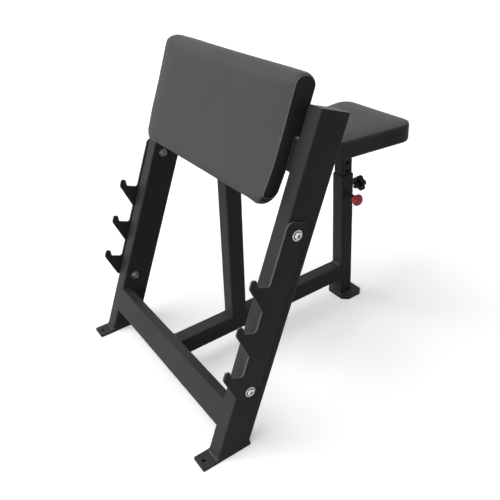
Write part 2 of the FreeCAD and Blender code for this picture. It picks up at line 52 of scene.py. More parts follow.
def shader(name, base, roughness, **sockets):
    """New principled material; constant sockets are set on the shader itself."""
    mat = bpy.data.materials.new(name)
    mat.use_nodes = True
    bsdf = mat.node_tree.nodes["Principled BSDF"]
    bsdf.inputs["Base Color"].default_value = (*base, 1.0)
    bsdf.inputs["Roughness"].default_value = roughness
    for key, value in sockets.items():
        bsdf.inputs[key.replace("_", " ")].default_value = value
    return mat, mat.node_tree, bsdf


def link(tree, a, out, b, socket):
    """Wire one node's output to another's input."""
    tree.links.new(a.outputs[out], b.inputs[socket])


def coords(tree, stretch=None):
    """The piece's own object coordinates in metres, scaled along x, y and z where a pattern is drawn out."""
    source = tree.nodes.new("ShaderNodeTexCoord")
    if stretch is None:
        return source, "Object"
    mapping = tree.nodes.new("ShaderNodeMapping")
    mapping.inputs["Scale"].default_value = stretch
    link(tree, source, "Object", mapping, "Vector")
    return mapping, "Vector"


def noise(tree, scale, detail, rough=0.55, stretch=None):
    """Noise texture on object coordinates, scale in cycles per metre."""
    tex = tree.nodes.new("ShaderNodeTexNoise")
    tex.inputs["Scale"].default_value = scale
    tex.inputs["Detail"].default_value = detail
    tex.inputs["Roughness"].default_value = rough
    link(tree, *coords(tree, stretch), tex, "Vector")
    return tex


def ramp(tree, source, out, stops):
    """Colour ramp with (position, colour) stops, driven by a texture value."""
    node = tree.nodes.new("ShaderNodeValToRGB")
    elements = node.color_ramp.elements
    elements[0].position, elements[0].color = stops[0][0], (*stops[0][1], 1.0)
    elements[1].position, elements[1].color = stops[-1][0], (*stops[-1][1], 1.0)
    for pos, colour in stops[1:-1]:
        elements.new(pos).color = (*colour, 1.0)
    link(tree, source, out, node, "Fac")
    return node


def clouded(tree, bsdf, dark, light, scale, detail):
    """Base colour that drifts between two tones in soft clouds."""
    tone = ramp(tree, noise(tree, scale, detail), "Fac", [(0.3, dark), (0.7, light)])
    link(tree, tone, "Color", bsdf, "Base Color")


def roughened(tree, bsdf, source, out, low, high, from_low=0.3, from_high=0.7):
    """Roughness that follows a texture value, mapped to a range."""
    node = tree.nodes.new("ShaderNodeMapRange")
    node.inputs["From Min"].default_value = from_low
    node.inputs["From Max"].default_value = from_high
    node.inputs["To Min"].default_value = low
    node.inputs["To Max"].default_value = high
    link(tree, source, out, node, "Value")
    link(tree, node, "Result", bsdf, "Roughness")


def bump(tree, bsdf, source, out, strength, distance, under=None):
    """Small relief from a texture value, distance in metres, laid over an earlier relief if there is one."""
    node = tree.nodes.new("ShaderNodeBump")
    node.inputs["Strength"].default_value = strength
    node.inputs["Distance"].default_value = distance
    link(tree, source, out, node, "Height")
    if under is not None:
        link(tree, under, "Normal", node, "Normal")
    link(tree, node, "Normal", bsdf, "Normal")
    return node


def powder_paint(name, dark, light, roughness):
    """Matte powder paint: cloudy tone, orange-peel grain about 1.5 mm across, roughness that follows it, and
    a longer, lower wave where the coat has flowed."""
    mat, tree, bsdf = shader(name, light, roughness, Specular_IOR_Level=0.07)
    clouded(tree, bsdf, dark, light, scale=9.0, detail=3.0)
    peel = noise(tree, scale=650.0, detail=2.0)
    roughened(tree, bsdf, peel, "Fac", roughness - 0.06, roughness + 0.06)
    flow = noise(tree, scale=120.0, detail=2.0)
    waves = bump(tree, bsdf, flow, "Fac", strength=0.12, distance=0.6 * MM)
    bump(tree, bsdf, peel, "Fac", strength=0.22, distance=0.25 * MM, under=waves)
    return mat


def coat(material, *names):
    """Give CAD nodes a finish."""
    for name in names:
        nodes[name].data.materials.clear()
        nodes[name].data.materials.append(material)


frame_paint = powder_paint("frame_powder_paint", (0.042, 0.042, 0.0425), (0.050, 0.050, 0.0505), 0.45)
coat(frame_paint, "left_upright", "right_upright", "left_foot_plate", "right_foot_plate", "lower_crossbeam",
     "upper_crossbeam", "base_tube", "centre_post", "seat_post_sleeve", "rear_foot_plate", "pin_barrel",
     "clamp_nut")

# Weld beads where the tubes and plates of the frame meet: fillet welds run by hand, wire-brushed and painted
# over with the frame, so only a soft rippled roll is left. The beads take a lighter, shinier paint, whose
# lighter tone is a painted highlight, and the welds on the front of the crossbeams are ground flush.

RAKE = math.radians(22.5)
BEAM_DEEP, BEAM_HIGH = 40 * MM, 82 * MM
TUBE_ROUND, FRONT_ROUND, SLEEVE_ROUND, FOOT_ROUND = 5 * MM, 1 * MM, 4 * MM, 5.2 * MM
FOOT_MARGIN = 51 * MM
LEG, GROUND_LEG, FOOT_LEG, BASE_LEG, BARREL_LEG = 5 * MM, 5.3 * MM, 4.5 * MM, 3.5 * MM, 2.5 * MM
SLEEVE_LEGS = 9 * MM, 8 * MM
RIPPLE_PITCH, END_TAPER = 4 * MM, 6 * MM
XY_PLANE = (1, 0), (0, 1), (0, 0)
YZ_PLANE = (0, 0), (1, 0), (0, 1)
foot_corner, upright_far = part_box("right_upright")
upright_in, upright_out = foot_corner.x, upright_far.x
upright_mid, upright_half = (upright_in + upright_out) / 2, (upright_out - upright_in) / 2


def raked(x, w, s):
    """Points on the raked frame: x across, w back from the uprights' front face and s up along it, so that
    y = s sin(rake) + w cos(rake) and z = s cos(rake) - w sin(rake) from the foot of that face."""
    x, w, s = np.broadcast_arrays(x, w, s)
    y = foot_corner.y + s * math.sin(RAKE) + w * math.cos(RAKE)
    z = foot_corner.z + s * math.cos(RAKE) - w * math.sin(RAKE)
    return np.stack([x, y, z], -1)


def raked_way(x, w, s):
    """Direction on the raked frame, from the same three parts."""
    return raked(x, w, s) - raked(0.0, 0.0, 0.0)


def up_to(z, w):
    """Length s up the raked frame at which a point w behind its front face stands z high."""
    return (z - foot_corner.z + w * math.sin(RAKE)) / math.cos(RAKE)


def run_along(line):
    """Running length at each point of a line."""
    steps = np.linalg.norm(np.diff(line, axis=0), axis=1)
    return np.concatenate([[0.0], np.cumsum(steps)])


def stepped(line, count):
    """The same line as count equal steps, by its running length."""
    run = run_along(line)
    at = np.linspace(0.0, run[-1], count + 1)
    return np.stack([np.interp(at, run, column) for column in line.T], -1)


def arcs_at(corners, points=9):
    """Arcs that round a closed polygon of (a, b, radius) corners: each starts r tan(turn / 2) before its
    corner and follows start + r (sin t along the run + (1 - cos t) towards the turn) for t up to the turn."""
    at, radius = np.array(corners)[:, :2], np.array(corners)[:, 2]
    ahead = np.roll(at, -1, 0) - at
    ahead /= np.linalg.norm(ahead, axis=1)[:, None]
    before = np.roll(ahead, 1, 0)
    cross = before[:, 0] * ahead[:, 1] - before[:, 1] * ahead[:, 0]
    turn = np.arctan2(np.abs(cross), (before * ahead).sum(1))
    inner = np.sign(cross)[:, None] * np.stack([-before[:, 1], before[:, 0]], -1)
    start = at - before * (radius * np.tan(turn / 2))[:, None]
    t = (turn[:, None] * np.linspace(0, 1, points))[..., None]
    bend = np.sin(t) * before[:, None] + (1 - np.cos(t)) * inner[:, None]
    return start[:, None] + radius[:, None, None] * bend


def outline(corners, splits, counts):
    """Closed line round a rounded polygon, cut at the middle of the arcs that splits names into sides of
    counts steps."""
    arcs = arcs_at(corners)
    size = arcs.shape[1]
    line = np.concatenate([arcs.reshape(-1, 2)] * 2)
    marks = [c * size + size // 2 for c in splits]
    marks.append(marks[0] + len(corners) * size)
    runs = zip(marks[:-1], marks[1:], counts)
    return np.concatenate([stepped(line[a:b + 1], count)[:-1] for a, b, count in runs])


def outward(ring):
    """Unit normals of a closed flat line: its neighbours' difference turned a quarter, to the outside."""
    before, after = np.roll(ring, 1, 0), np.roll(ring, -1, 0)
    along = after - before
    normal = np.stack([along[:, 1], -along[:, 0]], -1) / np.linalg.norm(along, axis=1)[:, None]
    area = (ring[:, 0] * after[:, 1] - ring[:, 1] * after[:, 0]).sum()
    return normal * np.sign(area)


def closed(ring):
    """A ring with its first point repeated at the end."""
    return np.concatenate([ring, ring[:1]])


def bead(path, face_a, face_b, leg_a, leg_b, loop):
    """Fillet weld: at each path point an arc from leg_a along one face to leg_b along the other, pressed
    flatter by 0.16 sin 2q at its middle, with ripples that trail at the toes. A root line inside the metal
    closes it, and the ends of an open weld taper to a point."""
    run = run_along(path)[:, None]
    q = np.linspace(0, math.pi / 2, 7)[None, :]
    beats = max(round(run[-1, 0] / RIPPLE_PITCH), 1)
    trail = 1.6 * np.cos(2 * q) ** 2
    ripple = 0.05 * np.cos(2 * math.pi * beats * run / run[-1] + trail)
    size = 1 - 0.16 * np.sin(2 * q) + ripple * np.sin(2 * q)
    if not loop:
        end = np.clip(np.minimum(run, run[-1] - run) / END_TAPER, 0, 1)
        size = size * (0.08 + 0.92 * np.sqrt(end * (2 - end)))
    a = np.broadcast_to(face_a, path.shape) * np.broadcast_to(leg_a, path.shape[:1])[:, None]
    b = np.broadcast_to(face_b, path.shape) * np.broadcast_to(leg_b, path.shape[:1])[:, None]
    arc = np.cos(q)[..., None] * a[:, None] + np.sin(q)[..., None] * b[:, None]
    roll = path[:, None] + size[..., None] * arc
    root = (path - 0.12 * (a + b))[:, None]
    section = np.concatenate([roll, root, roll[:, :1]], 1)
    if loop:
        return section
    ends = np.repeat(path[[0, -1]][:, None], section.shape[1], 1)
    return np.concatenate([ends[:1], section, ends[1:]])


def shell(name, body, slot, material, *grids):
    """Mesh object from point grids of rows and columns, each cell a quad. Shared edges and poles are merged
    and all faces turned outwards; the piece rides on a body."""
    points, quads, start = [], [], 0
    for grid in grids:
        rows, columns = grid.shape[:2]
        number = start + np.arange(rows * columns).reshape(rows, columns)
        cells = np.stack([number[:-1, :-1], number[1:, :-1], number[1:, 1:], number[:-1, 1:]], -1)
        points.append(grid.reshape(-1, 3))
        quads.append(cells.reshape(-1, 4))
        start += rows * columns
    mesh = bpy.data.meshes.new(name)
    mesh.from_pydata(np.concatenate(points).tolist(), [], np.concatenate(quads).tolist())
    work = bmesh.new()
    work.from_mesh(mesh)
    bmesh.ops.remove_doubles(work, verts=work.verts, dist=0.002 * MM)
    bmesh.ops.recalc_face_normals(work, faces=work.faces)
    work.to_mesh(mesh)
    work.free()
    mesh.shade_smooth()
    mesh.materials.append(material)
    piece = bpy.data.objects.new(name, mesh)
    bpy.context.scene.collection.objects.link(piece)
    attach(piece, body)
    return piece


def tube_ring(half_a, half_b, radius, count):
    """Rounded rectangle about the origin in count steps with its outward normals, both closed."""
    corners = [(a * half_a, b * half_b, radius) for a, b in ((1, 1), (-1, 1), (-1, -1), (1, -1))]
    ring = outline(corners, (0, 1, 2, 3), (count // 4,) * 4)
    return closed(ring), closed(outward(ring))


def flat(ab, x_of, y_of, z_of):
    """Lift flat (a, b) pairs into space: each of x, y, z is given by its own share of a and b."""
    return np.stack([ab @ np.array(x_of), ab @ np.array(y_of), ab @ np.array(z_of)], -1)


plate_low, plate_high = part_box("right_foot_plate")
upright_run = plate_high.y - plate_low.y - FOOT_MARGIN
welds, ground = [], []
for side in (-1, 1):
    ring, normal = tube_ring(upright_half, upright_run / 2, FOOT_ROUND, 144)
    foot = np.array((side * upright_mid, foot_corner.y + upright_run / 2, foot_corner.z))
    fore = np.abs(normal[:, 1])
    up_tube = np.stack([0 * fore, math.sin(RAKE) * fore, 0 * fore + 0.95], -1)
    on_plate = 1.7 * MM + 3.3 * MM * fore
    path = flat(ring, *XY_PLANE) + foot
    welds.append(bead(path, flat(normal, *XY_PLANE), up_tube, on_plate, FOOT_LEG, True))
    for beam in ("lower_crossbeam", "upper_crossbeam"):
        s_low = up_to(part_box(beam)[0].z, BEAM_DEEP)
        s_high = s_low + BEAM_HIGH
        back_corners = [(BEAM_DEEP, s_high, TUBE_ROUND), (BEAM_DEEP, s_low, TUBE_ROUND)]
        front_corners = [(0.0, s_low, FRONT_ROUND), (0.0, s_high, FRONT_ROUND)]
        arcs = arcs_at(back_corners + front_corners)[:2].reshape(-1, 2)
        ends = np.array([(2 * MM, s_high), (2 * MM, s_low)])
        edge = stepped(np.concatenate([ends[:1], arcs, ends[1:]]), 110)
        away = outward(edge)
        away[[0, -1]] = [[0, 1], [0, -1]]
        path = raked(side * upright_in, edge[:, 0], edge[:, 1])
        on_upright = raked_way(0.0, away[:, 0], away[:, 1])
        welds.append(bead(path, on_upright, (-side, 0, 0), LEG, LEG, False))
        along = np.linspace(s_low + 1 * MM, s_high - 1 * MM, 90)
        root = raked(side * (upright_in + 1.5 * MM), 3.2 * MM, along)
        to_upright, to_beam = (raked_way(x, -0.58, 0.0) for x in (side * 0.815, -side * 0.815))
        ground.append(bead(root, to_upright, to_beam, GROUND_LEG, GROUND_LEG, False))

base_low, base_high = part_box("base_tube")
base_half = base_high.x
s_low, s_high = (up_to(z, BEAM_DEEP) for z in (base_low.z, base_high.z))
ring, normal = tube_ring(base_half, (s_high - s_low) / 2, TUBE_ROUND, 120)
path = raked(ring[:, 0], BEAM_DEEP, ring[:, 1] + (s_high + s_low) / 2)
welds.append(bead(path, raked_way(normal[:, 0], 0.0, normal[:, 1]), (0, 1, 0), BASE_LEG, LEG, True))

sleeve_low, sleeve_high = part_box("seat_post_sleeve")
sleeve_half = sleeve_high.x
across = np.linspace(-base_half + 2 * MM, base_half - 2 * MM, 40)
for z, up in ((base_high.z, 1), (base_low.z, -1)):
    path = np.stack([across, 0 * across + sleeve_low.y, 0 * across + z], -1)
    welds.append(bead(path, (0, -1, 0), (0, 0, up), *SLEEVE_LEGS, False))
ring, normal = tube_ring(sleeve_half, sleeve_half, SLEEVE_ROUND, 112)
path = flat(ring, *XY_PLANE) + np.array((0, (sleeve_low.y + sleeve_high.y) / 2, sleeve_low.z))
welds.append(bead(path, flat(normal, *XY_PLANE), (0, 0, 1), LEG, LEG, True))

barrel_low, barrel_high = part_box("pin_barrel")
barrel_half = (barrel_high.y - barrel_low.y) / 2
barrel_mid = (barrel_low + barrel_high) / 2
ring, normal = tube_ring(barrel_half, barrel_half, barrel_half - 0.1 * MM, 64)
path = flat(ring, *YZ_PLANE) + np.array((sleeve_half, barrel_mid.y, barrel_mid.z))
welds.append(bead(path, flat(normal, *YZ_PLANE), (1, 0, 0), BARREL_LEG, BARREL_LEG, True))

# Lighter paint on the weld beads: a painted highlight.
weld_highlight_paint = powder_paint("weld_highlight_powder_paint", (0.060, 0.060, 0.0605), (0.074, 0.074, 0.0745), 0.36)
shell("frame_welds", "frame", "powder_coat", weld_highlight_paint, *welds)
shell("frame_ground_welds", "frame", "powder_coat", frame_paint, *ground)

# End caps: plastic plugs pressed into the tops of the uprights, moulded black with a fine matte grain. Their
# flange is thicker towards the seat and its rim is rounded.

UPRIGHT_DEEP, UPRIGHT_LONG = 96 * MM, 978 * MM
CAP_THIN, CAP_WEDGE = 1.8 * MM, 4.6 * MM


def moulded_plastic(name, dark, light, roughness, gloss):
    """Moulded plastic: spark-eroded grain about 0.7 mm across, faint flow clouds and gloss in patches."""
    mat, tree, bsdf = shader(name, light, roughness, Specular_IOR_Level=gloss)
    clouded(tree, bsdf, dark, light, scale=30.0, detail=3.0)
    handled = noise(tree, scale=55.0, detail=4.0)
    roughened(tree, bsdf, handled, "Fac", roughness - 0.08, roughness + 0.08)
    grain = noise(tree, scale=1400.0, detail=2.0)
    bump(tree, bsdf, grain, "Fac", strength=0.18, distance=0.15 * MM)
    return mat


def faced(name, body, slot, material, *grids):
    """Shell of open rings with each open end closed by one flat face."""
    piece = shell(name, body, slot, material, *grids)
    work = bmesh.new()
    work.from_mesh(piece.data)
    filled = bmesh.ops.holes_fill(work, edges=work.edges, sides=0)
    for face in filled["faces"]:
        face.smooth = False
    bmesh.ops.recalc_face_normals(work, faces=work.faces)
    work.to_mesh(piece.data)
    work.free()
    return piece


black_plastic = moulded_plastic("black_moulded_plastic", (0.010, 0.010, 0.010), (0.014, 0.014, 0.0145),
                                roughness=0.42, gloss=0.1)
ring, normal = tube_ring(upright_half, UPRIGHT_DEEP / 2, TUBE_ROUND, 96)
rim_inset = np.array([0, 0, 0.2, 0.7, 1.5])[:, None, None] * MM
rim_share = np.array([0, 0.55, 0.82, 0.95, 1])[:, None]
rim = ring[None] - rim_inset * normal[None]
rim_w = rim[..., 1] + UPRIGHT_DEEP / 2
rim_s = UPRIGHT_LONG + rim_share * (CAP_THIN + CAP_WEDGE * rim_w / UPRIGHT_DEEP)
caps = [raked(side * upright_mid + rim[..., 0], rim_w, rim_s) for side in (-1, 1)]
end_caps = faced("upright_flanged_caps", "frame", "black_plastic", black_plastic, *caps)
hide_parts("upright_end_caps")

# Hook plates: 6 mm steel laser-cut to three open bar hooks, edges dressed round, powder-coated and bolted to
# the outer faces of the uprights. Their edges are painted lighter than the flat sides, a painted highlight.

HOOK_THICK, HOOK_DRESSED = 6 * MM, 1.5 * MM
HOOK_TIPS = 546, 417, 288
FACE_ON = 0.97


def face_values(piece, kind):
    """The centre or normal of every face, one row each."""
    values = np.empty(len(piece.data.polygons) * 3)
    piece.data.polygons.foreach_get(kind, values)
    return values.reshape(-1, 3)


def second_finish(piece, material, chosen):
    """Give the chosen faces of a piece a second material."""
    piece.data.materials.append(material)
    piece.data.polygons.foreach_set("material_index", chosen.astype(np.int32))


hook_outline = [(66, 200, 20), (66, 702, 20), (-4, 702, 20)]
for tip in HOOK_TIPS:
    throat, nose, heel = tip - 19, tip - 24, tip - 88
    hook_outline += [(-4, throat, 9), (-41, throat, 3.5), (-51, tip, 6), (-66, tip, 6), (-66, nose, 12),
                     (-4, heel, 3.5)]
ring = arcs_at(np.array(hook_outline) * MM).reshape(-1, 2)
normal = outward(ring)
turn = np.linspace(0, math.pi / 2, 6)
inner_edge, outer_edge = HOOK_DRESSED * (1 - np.cos(turn)), HOOK_DRESSED * (1 - np.sin(turn))
edge_inset = np.concatenate([outer_edge, inner_edge])
edge_depth = np.concatenate([inner_edge, HOOK_THICK - outer_edge])
sheet = closed(ring)[None] - edge_inset[:, None, None] * closed(normal)[None]
plate_x = upright_out + edge_depth[:, None]
plates = [raked(side * plate_x, sheet[..., 0], sheet[..., 1]) for side in (-1, 1)]
hook_plates = faced("dressed_hook_plates", "frame", "powder_coat", frame_paint, *plates)
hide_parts("left_hook_plate", "right_hook_plate")
# Lighter paint on every edge face of the hook plates: a painted highlight.
edge_highlight_paint = powder_paint("edge_highlight_powder_paint", (0.105, 0.105, 0.104), (0.130, 0.130, 0.128), 0.34)
second_finish(hook_plates, edge_highlight_paint, np.abs(face_values(hook_plates, "normal")[:, 0]) < FACE_ON)

# Bolts, washers and nuts of the hook plates and arm pad: bright zinc-plated steel, turned and rolled. The
# hook plates' bolts have a domed head with a hexagon socket on a flange, and their nuts are blackened. The
# socket and the groove round the dome take the blackened steel too, as painted shade in the recesses.

HOOK_BOLT_W, HOOK_BOLT_S = 35 * MM, (219 * MM, 668 * MM)
HEAD_ROWS = [(0, 0, 0), (15, 0, 0), (15, 1.5, 0), (14.3, 2.1, 0), (12.3, 2.2, 0), (11.8, 1.4, 0),
             (10.6, 1.4, 0), (10.4, 2.6, 0), (10.2, 4.6, 0), (9.6, 6.3, 0), (8.4, 7.5, 0), (7, 8.2, 0),
             (5.8, 8.5, 0.6), (4.9, 8.5, 1), (4.6, 8.1, 1), (4.5, 4.2, 1), (3.8, 3.8, 1), (0, 3.4, 0)]
NUT_ROWS = [(0, 0, 0), (14, 0, 0), (14, 1.3, 0), (13.2, 2, 0), (11.4, 2.2, 0.4), (9.5, 2.5, 1),
            (9.5, 10.4, 1), (9, 11.4, 0.8), (7.4, 12, 0), (6.4, 11.8, 0), (6.1, 11.2, 0), (6, 14, 0),
            (5.2, 14.9, 0), (0, 15, 0)]


def plated_steel(name, dark, light, roughness):
    """Zinc plating: bright metal with spangled clouds, fine turning scratches and dull patches."""
    mat, tree, bsdf = shader(name, light, roughness, Metallic=1.0)
    clouded(tree, bsdf, dark, light, scale=140.0, detail=5.0)
    dulled = noise(tree, scale=420.0, detail=5.0)
    roughened(tree, bsdf, dulled, "Fac", roughness - 0.1, roughness + 0.1)
    scratches = noise(tree, scale=900.0, detail=3.0)
    bump(tree, bsdf, scratches, "Fac", strength=0.1, distance=0.1 * MM)
    return mat


def turned(place, axis, rows, sides=48):
    """Surface of revolution about an x axis: rows of (radius, height, hexagon) in mm. A row's hexagon share
    turns its circle into a hexagon of that inscribed radius, r / cos(angle from the middle of the flat)."""
    radius, height, six = np.array(rows).T[..., None]
    around = np.linspace(0, 2 * math.pi, sides + 1)
    flat_angle = (around + math.pi / 6) % (math.pi / 3) - math.pi / 6
    radius = radius * MM * (1 - six + six / np.cos(flat_angle))
    proud = axis * height * MM + 0 * around
    return np.stack([proud, radius * np.cos(around), radius * np.sin(around)], -1) + place


zinc = plated_steel("zinc_plated_steel", (0.42, 0.42, 0.41), (0.58, 0.58, 0.57), 0.30)
blackened_and_shade_steel = plated_steel("blackened_steel_and_painted_shade", (0.085, 0.085, 0.086), (0.13, 0.13, 0.132), 0.40)
coat(zinc, "arm_pad_bolts", "arm_pad_washers")
plate_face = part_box("right_hook_plate")[1].x
heads, nuts = [], []
for side in (-1, 1):
    for s in HOOK_BOLT_S:
        heads.append(turned(raked(side * plate_face, HOOK_BOLT_W, s), side, HEAD_ROWS))
        nuts.append(turned(raked(side * upright_in, HOOK_BOLT_W, s), -side, NUT_ROWS))
hook_bolts = shell("hook_plate_flanged_bolts", "frame", "zinc_steel", zinc, *heads)
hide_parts("hook_plate_bolts", "hook_plate_washers")
centre = face_values(hook_bolts, "center")
axes = np.stack([raked(0.0, HOOK_BOLT_W, s)[1:] for s in HOOK_BOLT_S])
off_axis = np.linalg.norm(centre[:, None, 1:] - axes[None], axis=2).min(1)
proud = np.abs(centre[:, 0]) - plate_face
# The hexagon socket and the groove round the dome get the blackened steel: painted shade in the recesses.
socket = (off_axis < 4.75 * MM) & (proud < 8.2 * MM)
groove = (np.abs(off_axis - 11.2 * MM) < 1 * MM) & (np.abs(proud - 1.65 * MM) < 0.45 * MM)
second_finish(hook_bolts, blackened_and_shade_steel, socket | groove)
hook_nuts = shell("hook_plate_flanged_nuts", "frame", "zinc_steel", blackened_and_shade_steel, *nuts)
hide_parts("hook_plate_nuts")

# Foot hole discs: thin black plastic discs, dished on top, set at the bottom of the floor-bolt holes: painted
# shade that keeps the holes dark.

HOLE_FROM_EDGE = 17 * MM
HOLE_SHADE_ROWS = [(0, 0.3, 0), (5.4, 0.3, 0), (5.4, 0.9, 0), (4.9, 1.2, 0), (1.5, 1.0, 0), (0, 1.0, 0)]
upended = turned(np.zeros(3), 1, HOLE_SHADE_ROWS)[..., [1, 2, 0]]
hole_y = plate_low.y + HOLE_FROM_EDGE
hole_shade_discs = [upended + np.array((side * upright_mid, hole_y, 0)) for side in (-1, 1)]
# Dark discs in the foot plates' holes: painted shade.
shell("foot_hole_shade_discs", "frame", "black_plastic", black_plastic, *hole_shade_discs)

# Arm pad board: birch plywood sawn to the pad's outline, let into the back of the cushion and left raw. The
# cover is stapled to it and four bolts hold it to the upper crossbeam.


def raw_plywood(name, stretch):
    """Rotary-cut birch face: long cathedral grain from stretched noise, fine pores and a dry surface."""
    mat, tree, bsdf = shader(name, (0.45, 0.33, 0.2), 0.7)
    grain = noise(tree, scale=22.0, detail=8.0, rough=0.65, stretch=stretch)
    stops = [(0.3, (0.32, 0.21, 0.11)), (0.5, (0.44, 0.32, 0.19)), (0.7, (0.52, 0.40, 0.25))]
    link(tree, ramp(tree, grain, "Fac", stops), "Color", bsdf, "Base Color")
    roughened(tree, bsdf, grain, "Fac", 0.62, 0.78)
    pores = noise(tree, scale=160.0, detail=6.0, rough=0.7, stretch=stretch)
    bump(tree, bsdf, pores, "Fac", strength=0.3, distance=0.4 * MM)
    return mat


plywood = raw_plywood("birch_plywood", (0.12, 1.0, 1.0))
coat(plywood, "arm_pad_board")

# Arm pad cushion: firm foam under smooth satin grey vinyl. One panel wraps the front and the rolled top, and
# flat end panels of darker vinyl are sewn to it; all of it is drawn tight and stapled to the board.

PRESSED_FRAMES, END_FACING = 20, 0.8


def soft_vinyl(name, dark, light, roughness):
    """Upholstery vinyl: pebbled grain about 1.3 mm across, tone clouds, and gloss that rises on pebbles."""
    mat, tree, bsdf = shader(name, light, roughness, Specular_IOR_Level=0.06)
    clouded(tree, bsdf, dark, light, scale=6.0, detail=4.0)
    pebble = tree.nodes.new("ShaderNodeTexVoronoi")
    pebble.feature = "SMOOTH_F1"
    pebble.inputs["Scale"].default_value = 760.0
    link(tree, *coords(tree), pebble, "Vector")
    roughened(tree, bsdf, pebble, "Distance", roughness - 0.05, roughness + 0.07, 0.1, 0.7)
    slack = bump(tree, bsdf, noise(tree, scale=45.0, detail=3.0), "Fac", strength=0.1, distance=1 * MM)
    bump(tree, bsdf, pebble, "Distance", strength=0.12, distance=-0.2 * MM, under=slack)
    return mat


def quilt(ring, first, second):
    """Coons patch inside a closed ring of 3-D points whose sides are first, second, first, second steps long:
    the two lerps between opposite sides, added, less the lerp between the four corners."""
    left = ring[:first + 1]
    top = ring[first:first + second + 1]
    right = ring[first + second:2 * first + second + 1][::-1]
    bottom = closed(ring)[2 * first + second:][::-1]
    v = np.linspace(0, 1, first + 1)[:, None, None]
    u = np.linspace(0, 1, second + 1)[None, :, None]
    sides = (1 - u) * left[:, None] + u * right[:, None] + (1 - v) * bottom[None] + v * top[None]
    low_corners = (1 - u) * left[0] + u * right[0]
    high_corners = (1 - u) * left[-1] + u * right[-1]
    return sides - (1 - v) * low_corners - v * high_corners


def crown(panel):
    """Swell of a panel as a share, 4 sqrt(v (1 - v) u (1 - u)): 0 along its edges and 1 at its middle."""
    v, u = (np.linspace(0, 1, n) for n in panel.shape[:2])
    return 4 * np.sqrt(np.outer(v * (1 - v), u * (1 - u)))


def eased(t):
    """Smooth step from 0 to 1, t t (3 - 2 t) with t held between 0 and 1."""
    t = np.clip(t, 0, 1)
    return t * t * (3 - 2 * t)


def stuffed(piece, held, cap):
    """Foam presses the cover out: Cloth with inner pressure for some frames while the held points stay, each
    move d then eased to cap (1 - exp(-d / cap)) so that nothing swells past it. The result is applied."""
    mesh = piece.data
    count = len(mesh.vertices)
    rest = np.empty(count * 3)
    mesh.vertices.foreach_get("co", rest)
    rest = rest.reshape(-1, 3)
    pins = piece.vertex_groups.new(name="held")
    pins.add(np.flatnonzero(held(rest)).tolist(), 1.0, "REPLACE")
    cloth = piece.modifiers.new("cover", "CLOTH")
    settings = cloth.settings
    settings.quality = 4
    settings.mass = 0.3
    settings.tension_stiffness = 25
    settings.compression_stiffness = 25
    settings.shear_stiffness = 10
    settings.bending_stiffness = 2.0
    settings.use_pressure = True
    settings.uniform_pressure_force = 4.0
    settings.vertex_group_mass = "held"
    settings.effector_weights.gravity = 0.0
    cloth.collision_settings.use_collision = False
    cloth.point_cache.frame_end = PRESSED_FRAMES
    scene = bpy.context.scene
    for number in range(1, PRESSED_FRAMES + 1):
        scene.frame_set(number)
    evaluated = piece.evaluated_get(bpy.context.evaluated_depsgraph_get())
    blown = np.empty(count * 3)
    evaluated.data.vertices.foreach_get("co", blown)
    move = blown.reshape(-1, 3) - rest
    far = np.linalg.norm(move, axis=1)[:, None] + 1e-9
    shaped = rest + move / far * cap * (1 - np.exp(-far / cap))
    piece.modifiers.remove(cloth)
    piece.vertex_groups.remove(pins)
    mesh.vertices.foreach_set("co", shaped.ravel())
    mesh.update()
    scene.frame_set(1)


def finished_cover(piece, node):
    """Smooth a cushion cover once and let it stand for its solid."""
    smooth = piece.modifiers.new("smooth", "SUBSURF")
    smooth.levels = smooth.render_levels = 1
    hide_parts(node)


vinyl = soft_vinyl("grey_vinyl", (0.083, 0.083, 0.0835), (0.092, 0.092, 0.0925), 0.44)
dark_vinyl = soft_vinyl("dark_vinyl", (0.044, 0.044, 0.0445), (0.050, 0.050, 0.0505), 0.46)
pad_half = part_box("arm_pad_cushion")[1].x + 1.5 * MM
pad_low, pad_waist, pad_high, beam_top = 710.5 * MM, 893 * MM, 1049.5 * MM, 895 * MM
low_front, waist_front, roll_front = -47 * MM, -45 * MM, -48 * MM
pad_back, roll_back = -0.5 * MM, 16 * MM
pad_profile = [(low_front, pad_low, 10 * MM), (waist_front, pad_waist, 1500 * MM),
               (roll_front, pad_high, 31 * MM), (roll_back, pad_high, 27 * MM),
               (roll_back, beam_top + 3 * MM, 3 * MM), (pad_back, beam_top, 3 * MM),
               (pad_back, pad_low, 27 * MM)]
pad_long, pad_short = 70, 11
ring = outline(pad_profile, (0, 2, 3, 6), (pad_long, pad_short, pad_long, pad_short))
normal = outward(ring)

# From the panel round to the end face: distance from the pad's end, inset of the outline, and the seam's row.
end_gap = np.array([14, 9, 5, 2.8, 1.4, 0.6, 1.3, 0.5, 0.2, 0.0]) * MM
end_inset = np.array([0, 0, 0.05, 0.3, 0.8, 1.6, 2.2, 2.9, 4.2, 7.0]) * MM
seam_row = 6
middle = np.linspace(-pad_half + 20 * MM, pad_half - 20 * MM, 106)
stations = np.concatenate([-(pad_half - end_gap[::-1]), middle, pad_half - end_gap])
inset = np.concatenate([end_inset[::-1], 0 * middle, end_inset])
w = ring[:, 0] - inset[:, None] * normal[:, 0]
s = ring[:, 1] - inset[:, None] * normal[:, 1]

# The corners are rounded by lifting the edges there: fully along the lower edge, slightly along the upper.
corner_round, low_reach, high_reach = 31 * MM, 110 * MM, 60 * MM
narrowing, narrow_reach = 0.018, 80 * MM
past = np.clip(np.abs(stations) - (pad_half - corner_round), 0, corner_round * 0.97)
lift = (corner_round - np.sqrt(corner_round ** 2 - past ** 2))[:, None]
near_high = np.clip((s - (pad_high - high_reach)) / high_reach, 0, 1)
s = s + lift * eased((pad_low + low_reach - s) / low_reach) - 0.3 * lift * near_high


def drawn_in(s):
    """Share of its width that the pad keeps: a smooth step from all of it to a little less lower down."""
    return 1 - narrowing * eased((pad_low + low_reach - s) / narrow_reach)


